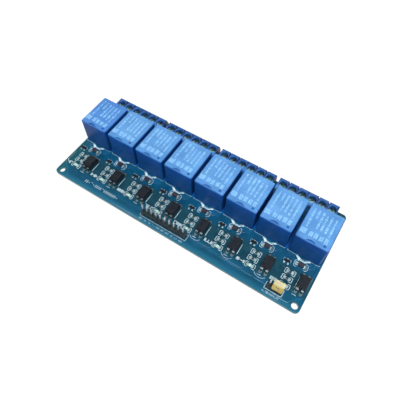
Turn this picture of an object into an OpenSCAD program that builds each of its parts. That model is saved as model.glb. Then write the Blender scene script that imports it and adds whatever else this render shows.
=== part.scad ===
// Eight-channel relay module board: a circuit board with sealed relays, screw terminals,
// optocouplers, small drive parts, two pin headers and a jumper cap.
// Origin: centre of the four mounting holes, on the board's underside.
// +X runs along the board, +Y towards the screw terminals, +Z up. Millimetres.

/* [Board] */
// Room from the end relays to the board's ends
relay_end_gap = 1.05; // [0.9:0.05:3]
// Distance from the board's front edge to the pin headers
header_inset = 4.4; // [4:0.1:6]
// Distance from the terminal blocks to the board's back edge
back_margin = 2.6; // [2.4:0.1:5]
// Thickness of the board
board_t = 1.6; // [1:0.1:2.4]
// Corner radius of the board
board_corner_r = 2; // [0.5:0.1:2.5]
// Distance from each edge to the mounting holes
hole_inset = 2.75; // [2.5:0.05:3]
// Diameter of the mounting holes
hole_d = 3.1; // [2.6:0.1:3.4]

/* [Relay covers] */
// Gap between neighbouring relays
relay_gap = 1.7; // [1.2:0.05:3]
// Offset of the relay row along the board, from its centre
relay_row_x = -0.2; // [-0.3:0.05:0.3]
// Width of a relay along the board
relay_w = 15.5; // [13.9:0.1:17.1]
// Length of a relay across the board
relay_l = 19.2; // [17.2:0.1:21.2]
// Height of a relay above the board
relay_h = 15.3; // [13:0.1:18]
// Radius of a cover's upright edges
cover_r = 0.8; // [0.5:0.1:1.2]
// Chamfer round a cover's top
cover_chamfer = 0.35; // [0.2:0.05:0.45]
// Wall of a cover round its base
cover_wall = 0.8; // [0.5:0.1:1.2]
// Width of the half-moon recess at the front of a cover's top
moon_w = 4.8; // [3:0.1:6]
// Reach of the half-moon recess from front to back
moon_reach = 1; // [0.6:0.1:1.6]
// Depth of the half-moon recess
moon_depth = 0.4; // [0.2:0.05:0.8]
// Diameter of the dimple in a cover's top
dimple_d = 1.3; // [0.8:0.1:2]

/* [Relay bases and pins] */
// Gap between a relay's underside and the board
relay_foot_h = 0.3; // [0.2:0.05:0.6]
// Thickness of a relay's base
base_t = 1.2; // [0.8:0.1:2]
// Step from a cover's rim up to its base
base_step = 0.2; // [0.1:0.05:0.4]
// Diameter of the standoffs under a base
foot_d = 1.6; // [1:0.1:2]
// Distance from the front and back faces to the common and contact pins
end_pin_inset = 2.5; // [2.2:0.1:3]
// Distance from the common pin back to the two coil pins
coil_pin_step = 2; // [1.8:0.1:2.2]
// Distance from the sides to the coil and contact pins
side_pin_inset = 1.75; // [1.55:0.05:2.2]
// Width of the flat pins
blade_w = 1; // [0.8:0.05:1.1]
// Thickness of the flat pins
blade_t = 0.6; // [0.4:0.05:0.8]
// Side of the square coil pins
coil_pin = 0.5; // [0.4:0.05:0.6]
// Length of the relay and terminal pins below the board
tail_l = 2; // [1.7:0.1:3]

/* [Terminal blocks] */
// Distance between neighbouring wire clamps
pole_pitch = 5.08; // [5:0.02:5.2]
// Gap between neighbouring pairs of blocks
pair_gap = 2; // [1:0.1:2.4]
// Offset of the terminal row along the board, from its centre
block_row_x = -0.3; // [-0.5:0.05:0.5]
// Gap between the relays' backs and the terminal blocks
block_gap = 1.2; // [0.8:0.1:1.6]
// Play between the two blocks of a pair
block_play = 0.04; // [0.02:0.01:0.1]
// Depth of a terminal block
block_depth = 8; // [7.8:0.1:8.4]
// Height of a terminal block above the board
block_h = 10.1; // [9.8:0.1:11]
// Height of the upright part of the wire face
wire_face_h = 6.9; // [6.6:0.1:8]
// Setback of the wire face at the top
wire_face_slope = 1.3; // [0.6:0.1:1.6]
// Wall behind the clamp pocket
rear_wall = 1.3; // [1:0.1:1.4]
// Wall in front of the clamp pocket
front_wall = 1.3; // [1:0.1:1.6]
// Width of a clamp pocket
pocket_w = 3.3; // [3.2:0.05:3.4]
// Height of a clamp pocket
pocket_h = 6.5; // [6.3:0.1:6.8]
// Floor between a clamp pocket and its screw well
ledge_t = 0.8; // [0.5:0.1:1]
// Width of a wire entry
entry_w = 2.7; // [2.4:0.1:2.9]
// Height of a wire entry
entry_h = 3.2; // [2.8:0.1:3.6]
// Height of a wire entry's lower edge above the board
entry_z = 1.4; // [1.2:0.1:1.8]
// Width of the chamfer round a wire entry
entry_flare = 0.4; // [0.2:0.05:0.6]
// Depth of the dovetail rib that joins two blocks
dovetail_d = 0.4; // [0.3:0.05:0.45]
// Width and depth of the grooves that part the poles on the top and the wire face
pole_groove = 0.5; // [0.3:0.05:0.8]

/* [Terminal screws and clamps] */
// Distance from the block's back to the screws
screw_y = 3.6; // [3.5:0.05:3.8]
// Diameter of a screw's head
screw_head_d = 3.5; // [3.2:0.1:3.7]
// Height of a screw's head
screw_head_h = 1.6; // [1.2:0.1:1.8]
// Diameter of a screw's shank
screw_d = 2.4; // [2:0.1:2.5]
// Width of the screwdriver slot
slot_w = 0.6; // [0.4:0.05:0.8]
// Depth of the screwdriver slot
slot_depth = 0.8; // [0.5:0.1:1]
// Length of a cage clamp along the wire
cage_l = 3.1; // [2.8:0.1:3.1]
// Wall of a cage clamp
cage_wall = 0.5; // [0.4:0.05:0.55]
// Thickness of a cage clamp's threaded top
cage_top = 0.9; // [0.8:0.05:1]
// Thickness of the contact bar
bar_t = 0.6; // [0.5:0.05:0.7]

/* [Optocouplers] */
// Offset of an optocoupler from its relay's middle
opto_x = 5; // [4.6:0.1:5.1]
// Distance from the relay's front face to the optocoupler's middle
opto_y = 12; // [11.8:0.1:12.2]
// Width of an optocoupler's body
opto_w = 4.6; // [4.4:0.1:4.8]
// Length of an optocoupler's body
opto_l = 6.5; // [6.2:0.1:6.8]
// Height of an optocoupler's body
opto_h = 3.4; // [3:0.1:4]
// Gap between an optocoupler and the board
opto_gap = 0.4; // [0.3:0.1:0.8]
// Distance between the two rows of leads
opto_row = 7.62; // [7.6:0.02:7.9]
// Distance between neighbouring leads
opto_pitch = 2.54; // [2.4:0.02:2.6]
// Thickness of a lead
lead_t = 0.25; // [0.2:0.01:0.3]
// Width of a lead at the body
lead_w = 1.2; // [1:0.1:1.3]
// Length of the leads below the board
opto_tail = 1.3; // [1.3:0.1:1.6]

/* [Small parts] */
// Offset of a diode from its relay's middle
diode_x = 0.75; // [0.6:0.05:0.9]
// Distance from the relay's front face to the diode
diode_y = 4.1; // [4:0.05:4.3]
// Length of a diode's body
diode_l = 2.9; // [2.6:0.1:3.2]
// Width of a diode's body
diode_w = 1.9; // [1.6:0.1:2.1]
// Height of a diode's body
diode_h = 1.2; // [1:0.1:1.4]
// Offset of a transistor from its relay's middle
transistor_x = -5.6; // [-5.7:0.1:-5.2]
// Distance from the relay's front face to the transistor
transistor_y = 5.55; // [5.3:0.05:5.8]
// Length of a transistor's body
transistor_l = 2.9; // [2.7:0.1:3]
// Width of a transistor's body
transistor_w = 1.3; // [1.2:0.1:1.4]
// Height of a transistor's body
transistor_h = 1; // [0.8:0.1:1.1]
// Span over a transistor's leads
transistor_span = 2.4; // [2.3:0.1:2.6]
// Offset of the resistors from their relay's middle
resistor_x = -2; // [-2.2:0.1:-1.8]
// Distance from the relay's front face to the first resistor
resistor_y = 9.5; // [8.5:0.1:10.5]
// Distance between the two resistors
resistor_step = 3.45; // [2.6:0.05:4.2]
// Length of a chip part
chip_l = 2; // [1.9:0.05:2.2]
// Width of a chip part
chip_w = 1.25; // [1.15:0.05:1.4]
// Height of a chip resistor
chip_h = 0.5; // [0.4:0.05:0.6]
// Length of a chip part's metal end
chip_end = 0.4; // [0.25:0.05:0.5]
// Offset of a light-emitting diode from its relay's middle
led_x = -1.6; // [-1.8:0.1:-1.4]
// Distance from the second resistor to the light-emitting diode
led_step = 3.45; // [2.6:0.05:4.2]
// Height of a light-emitting diode's lens
lens_h = 0.5; // [0.4:0.05:0.6]
// Reach of the solder in front of a chip part's end
fillet_l = 0.4; // [0.3:0.05:0.5]

/* [Pin headers] */
// Distance between neighbouring header pins
pin_pitch = 2.54; // [2.5:0.01:2.6]
// Distance from the light-emitting diodes to the headers
header_step = 4.2; // [3.2:0.1:5]
// Offset of the long header from the board's centre
signal_x = -3.4; // [-6:0.1:6]
// Distance from the board's right end to the short header's middle
jumper_inset = 13.65; // [11.5:0.05:16]
// Side of a square header pin
header_pin = 0.64; // [0.6:0.01:0.66]
// Height of the insulators
insulator_h = 2.5; // [2:0.1:3]
// Length of the header pins above the insulators
header_top = 6; // [5.8:0.1:8]
// Length of the header pins below the board
header_tail = 1.4; // [1.4:0.1:1.6]

/* [Jumper cap] */
// Length of the cap
cap_l = 5; // [4.9:0.05:5.06]
// Width of the cap
cap_w = 2.4; // [2.3:0.05:2.5]
// Wall of the cap
cap_wall = 0.35; // [0.3:0.05:0.4]
// Thickness of the cap's top
cap_top = 0.6; // [0.4:0.1:1]
// Width of the window in the cap's sides
window_w = 1.5; // [1:0.1:2]
// Height of the window in the cap's sides
window_h = 1.4; // [0.8:0.1:1.6]

/* [Solder] */
// Height of a solder joint below the board
joint_h = 1; // [0.7:0.05:1.2]
// Width of a solder joint past its hole
joint_rim = 0.4; // [0.3:0.05:0.45]

/* [Hidden] */
$fn = 32;
channels = 8;
blocks = 8;
poles = 3;
signal_pins = 10;
jumper_pins = 3;
overcut = 1;          // how far a cut runs past a face
slip = 0.05;          // clearance between pieces that slide into each other

// The board is as long as the longer of its two rows, and its corner holes stay clear of
// the terminal blocks. From front to back it holds the headers, the small parts, the relays
// and the terminal blocks.
relay_pitch = relay_w + relay_gap;
relay_row_l = channels * relay_pitch - relay_gap;
block_pitch = poles * pole_pitch;
pair_pitch = 2 * block_pitch + pair_gap;
block_row_l = blocks / 2 * pair_pitch - pair_gap;
corner_room = hole_inset + hole_d / 2;
board_l = max(relay_row_l + 2 * relay_end_gap, block_row_l + 2 * corner_room);
led_y = resistor_y + resistor_step + led_step;
header_reach = led_y + header_step;
board_w = header_inset + header_reach + relay_l + block_gap + block_depth + back_margin;

// Places of the repeated pieces: numbers run from 1 at the left end of the board
function relay_x(i) = relay_row_x + (i - (channels + 1) / 2) * relay_pitch;
function block_x(i) = block_row_x + (floor((i - 1) / 2) - (blocks / 2 - 1) / 2) * pair_pitch
    + ((i - 1) % 2 - 0.5) * block_pitch;
function pole_x(block, pole) = block_x(block) + (pole - (poles + 1) / 2) * pole_pitch;
header_y = header_inset - board_w / 2;
relay_front_y = header_y + header_reach;
block_y = relay_front_y + relay_l + block_gap;
jumper_x = board_l / 2 - jumper_inset;

// Relay stack, from the board up
base_z = relay_foot_h + base_step;
cover_seat = base_z + base_t;
moon_r = (pow(moon_w / 2, 2) + pow(moon_reach, 2)) / (2 * moon_reach);
moon_lip = cover_chamfer + 0.1;
moon_x = -0.75;       // the half-moon's middle, to the left of the relay's
dimple_x = relay_w / 2 - 2.5;
dimple_y = 1.6;       // from the front face
foot_side = foot_d / 2 + 0.5;
foot_end = foot_d + 4;

// Terminal stack, from the board up: cage floor, contact bar, cage top, ledge, screw head
head_z = pocket_h + ledge_t;
cage_drop = 0.3;      // play between a cage and the roof of its pocket
cage_h = 4.7;
cage_z = pocket_h - cage_drop - cage_h;
cage_w = pocket_w - 0.3;
bar_z = cage_z + cage_h - cage_top - cage_drop - bar_t;
bar_w = cage_w - 2 * cage_wall - 0.3;
bar_end = block_depth - front_wall - 0.6;
well_d = screw_head_d + 0.4;
well_chamfer = 0.25;
top_chamfer = 0.5;
dovetail_y = 4.7;
dovetail_w = 1.4;
dovetail_flare = 0.25;
dovetail_z = 0.8;

// Lead holes of the board: [x, y, pin width, pin thickness, hole diameter]
blade_hole = blade_w + 0.4;
coil_hole = coil_pin + 0.4;
tail_w = 0.5;
opto_hole = tail_w + 0.35;
header_hole = header_pin + 0.35;
side_pin_x = relay_w / 2 - side_pin_inset;
relay_pin_plan = [
    [0, end_pin_inset, blade_w, blade_t, blade_hole],
    for (side = [-1, 1]) [side * side_pin_x, end_pin_inset + coil_pin_step,
                          coil_pin, coil_pin, coil_hole],
    for (side = [-1, 1]) [side * side_pin_x, relay_l - end_pin_inset,
                          blade_w, blade_t, blade_hole]];
function shifted(spot, x, y) = [spot[0] + x, spot[1] + y, spot[2], spot[3], spot[4]];
relay_spots = [for (i = [1:channels], spot = relay_pin_plan)
    shifted(spot, relay_x(i), relay_front_y)];
terminal_spots = [for (i = [1:blocks], k = [1:poles])
    [pole_x(i, k), block_y + rear_wall + bar_t / 2, blade_w, bar_t, blade_hole]];
opto_mid_y = relay_front_y - opto_y;
opto_spots = [for (i = [1:channels], side = [-1, 1], row = [-1, 1])
    [relay_x(i) + opto_x + side * opto_pitch / 2, opto_mid_y + row * opto_row / 2,
     tail_w, lead_t, opto_hole]];
function header_spots(x, pins) = [for (k = [1:pins])
    [x + (k - (pins + 1) / 2) * pin_pitch, header_y, header_pin, header_pin, header_hole]];
signal_spots = header_spots(signal_x, signal_pins);
jumper_spots = header_spots(jumper_x, jumper_pins);
all_spots = concat(relay_spots, terminal_spots, opto_spots, signal_spots, jumper_spots);

// Colours
board_blue = [0.06, 0.33, 0.47];
relay_blue = [0.35, 0.60, 0.90];
terminal_blue = [0.10, 0.25, 0.55];
black_plastic = [0.12, 0.12, 0.14];
tin = [0.78, 0.79, 0.80];
brass = [0.80, 0.68, 0.38];
lens_mint = [0.78, 0.95, 0.92];
cap_yellow = [0.93, 0.80, 0.42];

// ---- Shapes that repeat ----

// Rectangle with round corners, centred
module rounded_rect(l, w, r) {
    square([l - 2 * r, w], center = true);
    square([l, w - 2 * r], center = true);
    for (x = [-1, 1], y = [-1, 1])
        translate([x * (l / 2 - r), y * (w / 2 - r)]) circle(r);
}

// Prism along X from a profile drawn in Y and Z
module along_x(width) {
    rotate([90, 0, 90]) translate([0, 0, -width / 2]) linear_extrude(width) children();
}

// Prism along Y from a profile drawn in X and Z
module along_y(length) {
    rotate([90, 0, 0]) translate([0, 0, -length / 2]) linear_extrude(length) children();
}

// Upright block with round corner posts and a chamfered top, standing on z = 0
module moulded_block(w, l, h, r, c) {
    along_y(l - 2 * r) polygon(chamfered_profile(w, h, c));
    along_x(w - 2 * r) polygon(chamfered_profile(l, h, c));
    for (x = [-1, 1], y = [-1, 1]) translate([x * (w / 2 - r), y * (l / 2 - r), 0]) {
        cylinder(r = r, h = h - c);
        translate([0, 0, h - c]) cylinder(r1 = r, r2 = r - c, h = c);
    }
}
function chamfered_profile(w, h, c) = [
    [-w / 2, 0], [w / 2, 0], [w / 2, h - c], [w / 2 - c, h], [c - w / 2, h], [-w / 2, h - c]];

// Package moulded in two halves: its sides lean in above and below the parting band
module drafted_package(w, l, h, band, draft) {
    intersection() {
        along_y(l) polygon(drafted_profile(w, h, band, draft));
        along_x(w) polygon(drafted_profile(l, h, band, draft));
    }
}
function drafted_profile(w, h, band, draft) = [
    [draft - w / 2, 0], [w / 2 - draft, 0], [w / 2, (h - band) / 2], [w / 2, (h + band) / 2],
    [w / 2 - draft, h], [draft - w / 2, h], [-w / 2, (h + band) / 2], [-w / 2, (h - band) / 2]];

// Square pin from z = low to z = high with tapered ends
module square_pin(side, low, high, taper) {
    profile = [
        [taper - side / 2, low], [side / 2 - taper, low], [side / 2, low + 2 * taper],
        [side / 2, high - 2 * taper], [side / 2 - taper, high], [taper - side / 2, high],
        [-side / 2, high - 2 * taper], [-side / 2, low + 2 * taper]];
    intersection() {
        along_x(side) polygon(profile);
        along_y(side) polygon(profile);
    }
}

// ---- Board ----

module pcb() {
    color(board_blue) linear_extrude(board_t) difference() {
        rounded_rect(board_l, board_w, board_corner_r);
        for (x = [-1, 1], y = [-1, 1])
            translate([x * (board_l / 2 - hole_inset), y * (board_w / 2 - hole_inset)])
                circle(d = hole_d);
        for (spot = all_spots) translate([spot[0], spot[1]]) circle(d = spot[4]);
    }
}

// ---- Relays ----

// Origin of a relay: the middle of its body, at the board's top
module at_relay(i) {
    translate([relay_x(i), relay_front_y + relay_l / 2, board_t]) children();
}

module relay_cover(i) {
    color(relay_blue) at_relay(i) difference() {
        translate([0, 0, relay_foot_h])
            moulded_block(relay_w, relay_l, relay_h - relay_foot_h, cover_r, cover_chamfer);
        translate([0, 0, cover_seat - base_t - overcut])
            linear_extrude(base_t + overcut)
                rounded_rect(relay_w - 2 * cover_wall, relay_l - 2 * cover_wall, cover_r / 2);
        half_moon();
        translate([dimple_x, dimple_y - relay_l / 2, relay_h - moon_depth])
            cylinder(d = dimple_d, h = moon_depth + overcut);
    }
}

// Recess at the front of the top, behind a narrow lip
module half_moon() {
    front = moon_lip - relay_l / 2;
    intersection() {
        translate([moon_x, front + moon_reach - moon_r, relay_h - moon_depth])
            cylinder(r = moon_r, h = moon_depth + overcut);
        translate([-relay_w / 2, front, 0]) cube([relay_w, relay_l, 2 * relay_h]);
    }
}

module relay_base(i) {
    plate_w = relay_w - 2 * cover_wall - 2 * slip;
    plate_l = relay_l - 2 * cover_wall - 2 * slip;
    color(black_plastic) at_relay(i) difference() {
        union() {
            translate([0, 0, base_z]) linear_extrude(base_t)
                rounded_rect(plate_w, plate_l, cover_r / 2);
            for (x = [-1, 1], y = [-1, 1])
                translate([x * (plate_w / 2 - foot_side), y * (plate_l / 2 - foot_end), 0])
                    cylinder(d = foot_d, h = base_z + base_t / 2);
        }
        for (spot = relay_pin_plan)
            translate([spot[0], spot[1] - relay_l / 2, base_z + base_t / 2])
                cube([spot[2] + 2 * slip, spot[3] + 2 * slip, base_t + overcut], center = true);
    }
}

module relay_pins() {
    length = cover_seat + board_t + tail_l;
    color(tin) for (spot = relay_spots)
        translate([spot[0] - spot[2] / 2, spot[1] - spot[3] / 2, -tail_l])
            cube([spot[2], spot[3], length]);
}

// ---- Terminal blocks ----

// Origin of a pole: on its centre line, at the block's back and the board's top
module at_pole(block, pole) {
    translate([pole_x(block, pole), block_y, board_t]) children();
}

module terminal_housing(i) {
    width = block_pitch - block_play;
    color(terminal_blue) difference() {
        translate([block_x(i), block_y, board_t]) {
            along_x(width) polygon([
                [0, 0], [block_depth, 0], [block_depth, wire_face_h],
                [block_depth - wire_face_slope, block_h],
                [top_chamfer, block_h], [0, block_h - top_chamfer]]);
            translate([-width / 2, 0, 0]) dovetail(dovetail_w, dovetail_d, dovetail_flare);
        }
        translate([block_x(i) + width / 2, block_y, board_t])
            dovetail(dovetail_w + 2 * slip, dovetail_d + slip, dovetail_flare);
        for (k = [1:poles]) at_pole(i, k) pole_cuts();
        for (k = [1:poles - 1]) at_pole(i, k + 0.5) groove_cut();
    }
}

// Rib that widens away from the block, pointing to -X from x = 0
module dovetail(width, depth, flare) {
    height = pocket_h - dovetail_z - 0.3;
    translate([0, dovetail_y, dovetail_z]) linear_extrude(height) polygon([
        [slip, -width / 2], [0, -width / 2], [-depth, -width / 2 - flare],
        [-depth, width / 2 + flare], [0, width / 2], [slip, width / 2]]);
}

// Groove along the top, down the slope and down the wire face to the foot of the entries
module groove_cut() {
    face = block_depth - pole_groove;
    outside = block_depth + overcut;
    roof = block_h - pole_groove;
    along_x(pole_groove) polygon([
        [top_chamfer, block_h + overcut], [top_chamfer, roof], [face - wire_face_slope, roof],
        [face, wire_face_h - pole_groove], [face, entry_z], [outside, entry_z],
        [outside, block_h + overcut]]);
}

// Clamp pocket open below, wire entry in front, screw well above
module pole_cuts() {
    pocket_l = block_depth - rear_wall - front_wall;
    translate([-pocket_w / 2, rear_wall, -overcut]) cube([pocket_w, pocket_l, pocket_h + overcut]);
    translate([0, screw_y, 0]) {
        cylinder(d = screw_d + 0.4, h = block_h);
        translate([0, 0, head_z]) cylinder(d = well_d, h = block_h);
        translate([0, 0, block_h - well_chamfer])
            cylinder(d1 = well_d, d2 = well_d + 4 * well_chamfer, h = 2 * well_chamfer);
    }
    wire_entry();
}

// Rectangular opening whose edges flare towards the wire face
module wire_entry() {
    inner = block_depth - front_wall - overcut;
    throat = block_depth - entry_flare;
    mouth = block_depth + entry_flare;
    intersection() {
        translate([0, 0, entry_z + entry_h / 2]) along_x(pocket_w + 2 * entry_flare)
            polygon(flared_profile(inner, throat, mouth, entry_h));
        linear_extrude(block_h) mirror([1, -1, 0])
            polygon(flared_profile(inner, throat, mouth, entry_w));
    }
}
function flared_profile(inner, throat, mouth, size) = [
    [inner, -size / 2], [throat, -size / 2], [mouth, -size / 2 - mouth + throat],
    [mouth, size / 2 + mouth - throat], [throat, size / 2], [inner, size / 2]];

module terminal_screws() {
    tip_z = bar_z + bar_t;
    color(tin) for (i = [1:blocks], k = [1:poles]) at_pole(i, k) translate([0, screw_y, 0])
        difference() {
            union() {
                translate([0, 0, tip_z]) cylinder(d = screw_d, h = head_z - tip_z);
                translate([0, 0, head_z]) cylinder(d = screw_head_d, h = screw_head_h - 0.2);
                translate([0, 0, head_z + screw_head_h - 0.2])
                    cylinder(d1 = screw_head_d, d2 = screw_head_d - 0.4, h = 0.2);
            }
            translate([0, 0, head_z + screw_head_h]) rotate(slot_angle(i, k))
                cube([screw_head_d + overcut, slot_w, 2 * slot_depth], center = true);
        }
}
// Each screw was tightened to its own angle
function slot_angle(block, pole) = (block * 67 + pole * 41) % 180;

module terminal_clamps() {
    color(tin) for (i = [1:blocks], k = [1:poles]) at_pole(i, k)
        translate([0, screw_y, cage_z]) difference() {
            along_y(cage_l) translate([-cage_w / 2, 0]) square([cage_w, cage_h]);
            along_y(cage_l + overcut) translate([cage_wall - cage_w / 2, cage_wall])
                square([cage_w - 2 * cage_wall, cage_h - cage_wall - cage_top]);
            translate([0, 0, cage_h / 2]) cylinder(d = screw_d + 2 * slip, h = cage_h);
        }
}

// Contact bar through the cage, bent down behind it into the solder tail
module terminal_pins() {
    color(brass) for (i = [1:blocks], k = [1:poles]) at_pole(i, k) {
        along_x(bar_w) polygon([
            [rear_wall, 0], [rear_wall + bar_t, 0], [rear_wall + bar_t, bar_z],
            [bar_end, bar_z], [bar_end, bar_z + bar_t],
            [rear_wall + bar_t / 2, bar_z + bar_t], [rear_wall, bar_z + bar_t / 2]]);
        translate([-blade_w / 2, rear_wall, -board_t - tail_l])
            cube([blade_w, bar_t, board_t + tail_l + bar_t]);
    }
}

// ---- Optocouplers ----

module at_opto(i) {
    translate([relay_x(i) + opto_x, opto_mid_y, board_t]) children();
}

opto_band = 0.4;
opto_draft = 0.2;
lead_z = opto_gap + (opto_h - lead_t) / 2;

module optocoupler(i) {
    color(black_plastic) at_opto(i) translate([0, 0, opto_gap]) difference() {
        drafted_package(opto_w, opto_l, opto_h, opto_band, opto_draft);
        translate([1 - opto_w / 2, 1 - opto_l / 2, opto_h - 0.15])
            cylinder(d = 0.8, h = overcut);
    }
}

module optocoupler_leads() {
    color(tin) for (i = [1:channels], row = [0, 1]) at_opto(i) mirror([0, row, 0])
        for (side = [-1, 1]) translate([side * opto_pitch / 2, 0, 0]) {
            outer = (opto_row + lead_t) / 2;
            shoulder = 0.3;
            along_x(lead_w) polygon([
                [opto_l / 2, lead_z], [outer - lead_t, lead_z], [outer - lead_t, shoulder],
                [outer, shoulder], [outer, lead_z + lead_t / 2],
                [outer - lead_t / 2, lead_z + lead_t], [opto_l / 2, lead_z + lead_t]]);
            translate([-tail_w / 2, outer - lead_t, -board_t - opto_tail])
                cube([tail_w, lead_t, board_t + opto_tail + shoulder + lead_t]);
        }
}

// ---- Small parts ----

module at_transistor(i) {
    translate([relay_x(i) + transistor_x, relay_front_y - transistor_y, board_t]) children();
}

transistor_gap = 0.08;
foot_t = 0.12;
foot_w = 0.42;

module transistors() {
    color(black_plastic) for (i = [1:channels]) at_transistor(i)
        translate([0, 0, transistor_gap])
            drafted_package(transistor_l, transistor_w, transistor_h, foot_t, 0.1);
}

// Two gull-wing leads in front and one behind
module transistor_leads() {
    exit_z = transistor_gap + (transistor_h - foot_t) / 2;
    knee = transistor_w / 2 + 0.25;
    gull = [
        [transistor_w / 2, exit_z], [knee - foot_t, exit_z], [knee - foot_t, 0],
        [transistor_span / 2, 0], [transistor_span / 2, foot_t], [knee, foot_t],
        [knee, exit_z + foot_t], [transistor_w / 2, exit_z + foot_t]];
    color(tin) for (i = [1:channels]) at_transistor(i) {
        along_x(foot_w) polygon(gull);
        for (side = [-1, 1]) translate([side * 0.95, 0, 0])
            mirror([0, 1, 0]) along_x(foot_w) polygon(gull);
    }
}

module at_diode(i) {
    translate([relay_x(i) + diode_x, relay_front_y - diode_y, board_t]) children();
}

strap_t = 0.15;
strap_w = 1.1;
strap_fold = 0.75;

module diodes() {
    color(black_plastic) for (i = [1:channels]) at_diode(i)
        translate([0, 0, strap_t]) drafted_package(diode_l, diode_w, diode_h, strap_t, 0.1);
}

// Straps that leave the body's ends and fold under it
module diode_terminals() {
    exit_z = strap_t + (diode_h - strap_t) / 2;
    outer = diode_l / 2 + strap_t;
    color(tin) for (i = [1:channels], end = [0, 1]) at_diode(i) mirror([end, 0, 0])
        along_y(strap_w) polygon([
            [diode_l / 2, exit_z], [diode_l / 2, strap_t], [diode_l / 2 - strap_fold, strap_t],
            [diode_l / 2 - strap_fold, 0], [outer, 0], [outer, exit_z + strap_t],
            [diode_l / 2, exit_z + strap_t]]);
}

// Origins of the chip parts: two resistors and one light-emitting diode for each relay
module at_resistors() {
    for (i = [1:channels], k = [0, 1])
        translate([relay_x(i) + resistor_x, relay_front_y - resistor_y - k * resistor_step,
                   board_t]) children();
}
module at_leds() {
    for (i = [1:channels])
        translate([relay_x(i) + led_x, relay_front_y - led_y, board_t]) children();
}

module chip_body(h) {
    translate([chip_end - chip_l / 2, -chip_w / 2, 0]) cube([chip_l - 2 * chip_end, chip_w, h]);
}
module chip_ends(h) {
    for (end = [0, 1]) mirror([end, 0, 0])
        translate([chip_l / 2 - chip_end, -chip_w / 2, 0]) cube([chip_end, chip_w, h]);
}
// Wedge of solder that climbs each end of a part
module end_fillets(l, w, h) {
    for (end = [0, 1]) mirror([end, 0, 0])
        along_y(w) polygon([
            [l / 2, 0], [l / 2 + fillet_l, 0], [l / 2 + fillet_l, h / 6],
            [l / 2 + fillet_l / 3, h / 2], [l / 2, h]]);
}

module resistors() {
    color(black_plastic) at_resistors() chip_body(chip_h);
}
module resistor_ends() {
    color(tin) at_resistors() chip_ends(chip_h);
}

led_substrate = 0.3;

// Substrate with the clear lens cast on top of it
module leds() {
    lens_l = chip_l - 2 * chip_end - 0.1;
    color(lens_mint) at_leds() {
        chip_body(led_substrate);
        translate([0, 0, led_substrate]) intersection() {
            along_y(chip_w) polygon(chamfered_profile(lens_l, lens_h, lens_h / 2));
            along_x(lens_l) polygon(chamfered_profile(chip_w, lens_h, lens_h / 4));
        }
    }
}
module led_ends() {
    color(tin) at_leds() chip_ends(led_substrate);
}

module chip_solder() {
    color(tin) {
        at_resistors() end_fillets(chip_l, chip_w - 0.1, chip_h * 0.8);
        at_leds() end_fillets(chip_l, chip_w - 0.1, led_substrate);
        for (i = [1:channels]) at_diode(i)
            end_fillets(diode_l + 2 * strap_t, strap_w - 0.1, diode_h * 0.4);
    }
}

// ---- Pin headers ----

// One insulator with a chamfered unit round each pin
module header_base(spots) {
    half = pin_pitch / 2;
    notch = 0.45;
    color(black_plastic) translate([0, 0, board_t]) linear_extrude(insulator_h) difference() {
        for (spot = spots) translate([spot[0], spot[1]]) polygon([
            [notch - half, -half], [half - notch, -half], [half, notch - half],
            [half, half - notch], [half - notch, half], [notch - half, half],
            [-half, half - notch], [-half, notch - half]]);
        for (spot = spots) translate([spot[0], spot[1]]) square(header_pin, center = true);
    }
}

module header_pins(spots) {
    color(tin) for (spot = spots) translate([spot[0], spot[1], 0])
        square_pin(header_pin, -header_tail, board_t + insulator_h + header_top, 0.14);
}

module signal_header_base() header_base(signal_spots);
module signal_header_pins() header_pins(signal_spots);
module jumper_header_base() header_base(jumper_spots);
module jumper_header_pins() header_pins(jumper_spots);

// ---- Jumper cap, on the second and third pins ----

cap_h = header_top + cap_top + 0.1;
cavity_l = cap_l - 2 * cap_wall;
cavity_w = cap_w - 2 * cap_wall;
module at_cap() {
    translate([jumper_x + pin_pitch / 2, header_y, board_t + insulator_h]) children();
}

module jumper_cap() {
    color(cap_yellow) at_cap() difference() {
        moulded_block(cap_l, cap_w, cap_h, 0.3, 0.2);
        translate([-cavity_l / 2, -cavity_w / 2, -overcut])
            cube([cavity_l, cavity_w, cap_h - cap_top + overcut]);
        translate([-window_w / 2, -cap_w, cap_h / 2 - window_h / 2])
            cube([window_w, 2 * cap_w, window_h]);
    }
}

// Two square sleeves that grip the pins, joined by a bridge across the top
module jumper_contact() {
    sleeve = cavity_w - 2 * slip;
    sleeve_z = 0.8;
    sleeve_h = 4;
    bridge_t = 0.3;
    bridge_l = pin_pitch + sleeve;
    color(brass) at_cap() translate([0, 0, sleeve_z]) difference() {
        union() {
            for (side = [-1, 1]) translate([side * pin_pitch / 2, 0, sleeve_h / 2])
                cube([sleeve, sleeve, sleeve_h], center = true);
            translate([-bridge_l / 2, -sleeve / 2, sleeve_h - bridge_t])
                cube([bridge_l, sleeve, bridge_t]);
        }
        for (side = [-1, 1]) translate([side * pin_pitch / 2, 0, sleeve_h / 2])
            cube([header_pin + 0.02, header_pin + 0.02, sleeve_h + overcut], center = true);
    }
}

// ---- Solder ----

// Cone round every lead under the board, with the lead's own section left open
module solder_joints() {
    color(tin) for (spot = all_spots) translate([spot[0], spot[1], -joint_h]) difference() {
        top_r = spot[4] / 2 + joint_rim;
        cylinder(r1 = spot[4] / 2 + 0.05, r2 = top_r, h = joint_h);
        cube([spot[2] + 0.02, spot[3] + 0.02, 3 * joint_h], center = true);
    }
}

pcb();
for (i = [1:channels]) {
    relay_cover(i);
    relay_base(i);
    optocoupler(i);
}
for (i = [1:blocks])
    terminal_housing(i);
relay_pins();
terminal_screws();
terminal_clamps();
terminal_pins();
optocoupler_leads();
transistors();
transistor_leads();
diodes();
diode_terminals();
resistors();
resistor_ends();
leds();
led_ends();
signal_header_base();
signal_header_pins();
jumper_header_base();
jumper_header_pins();
jumper_cap();
jumper_contact();
solder_joints();
chip_solder();
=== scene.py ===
import math
import random

import bmesh
import bpy
from mathutils import Matrix, Vector


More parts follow.
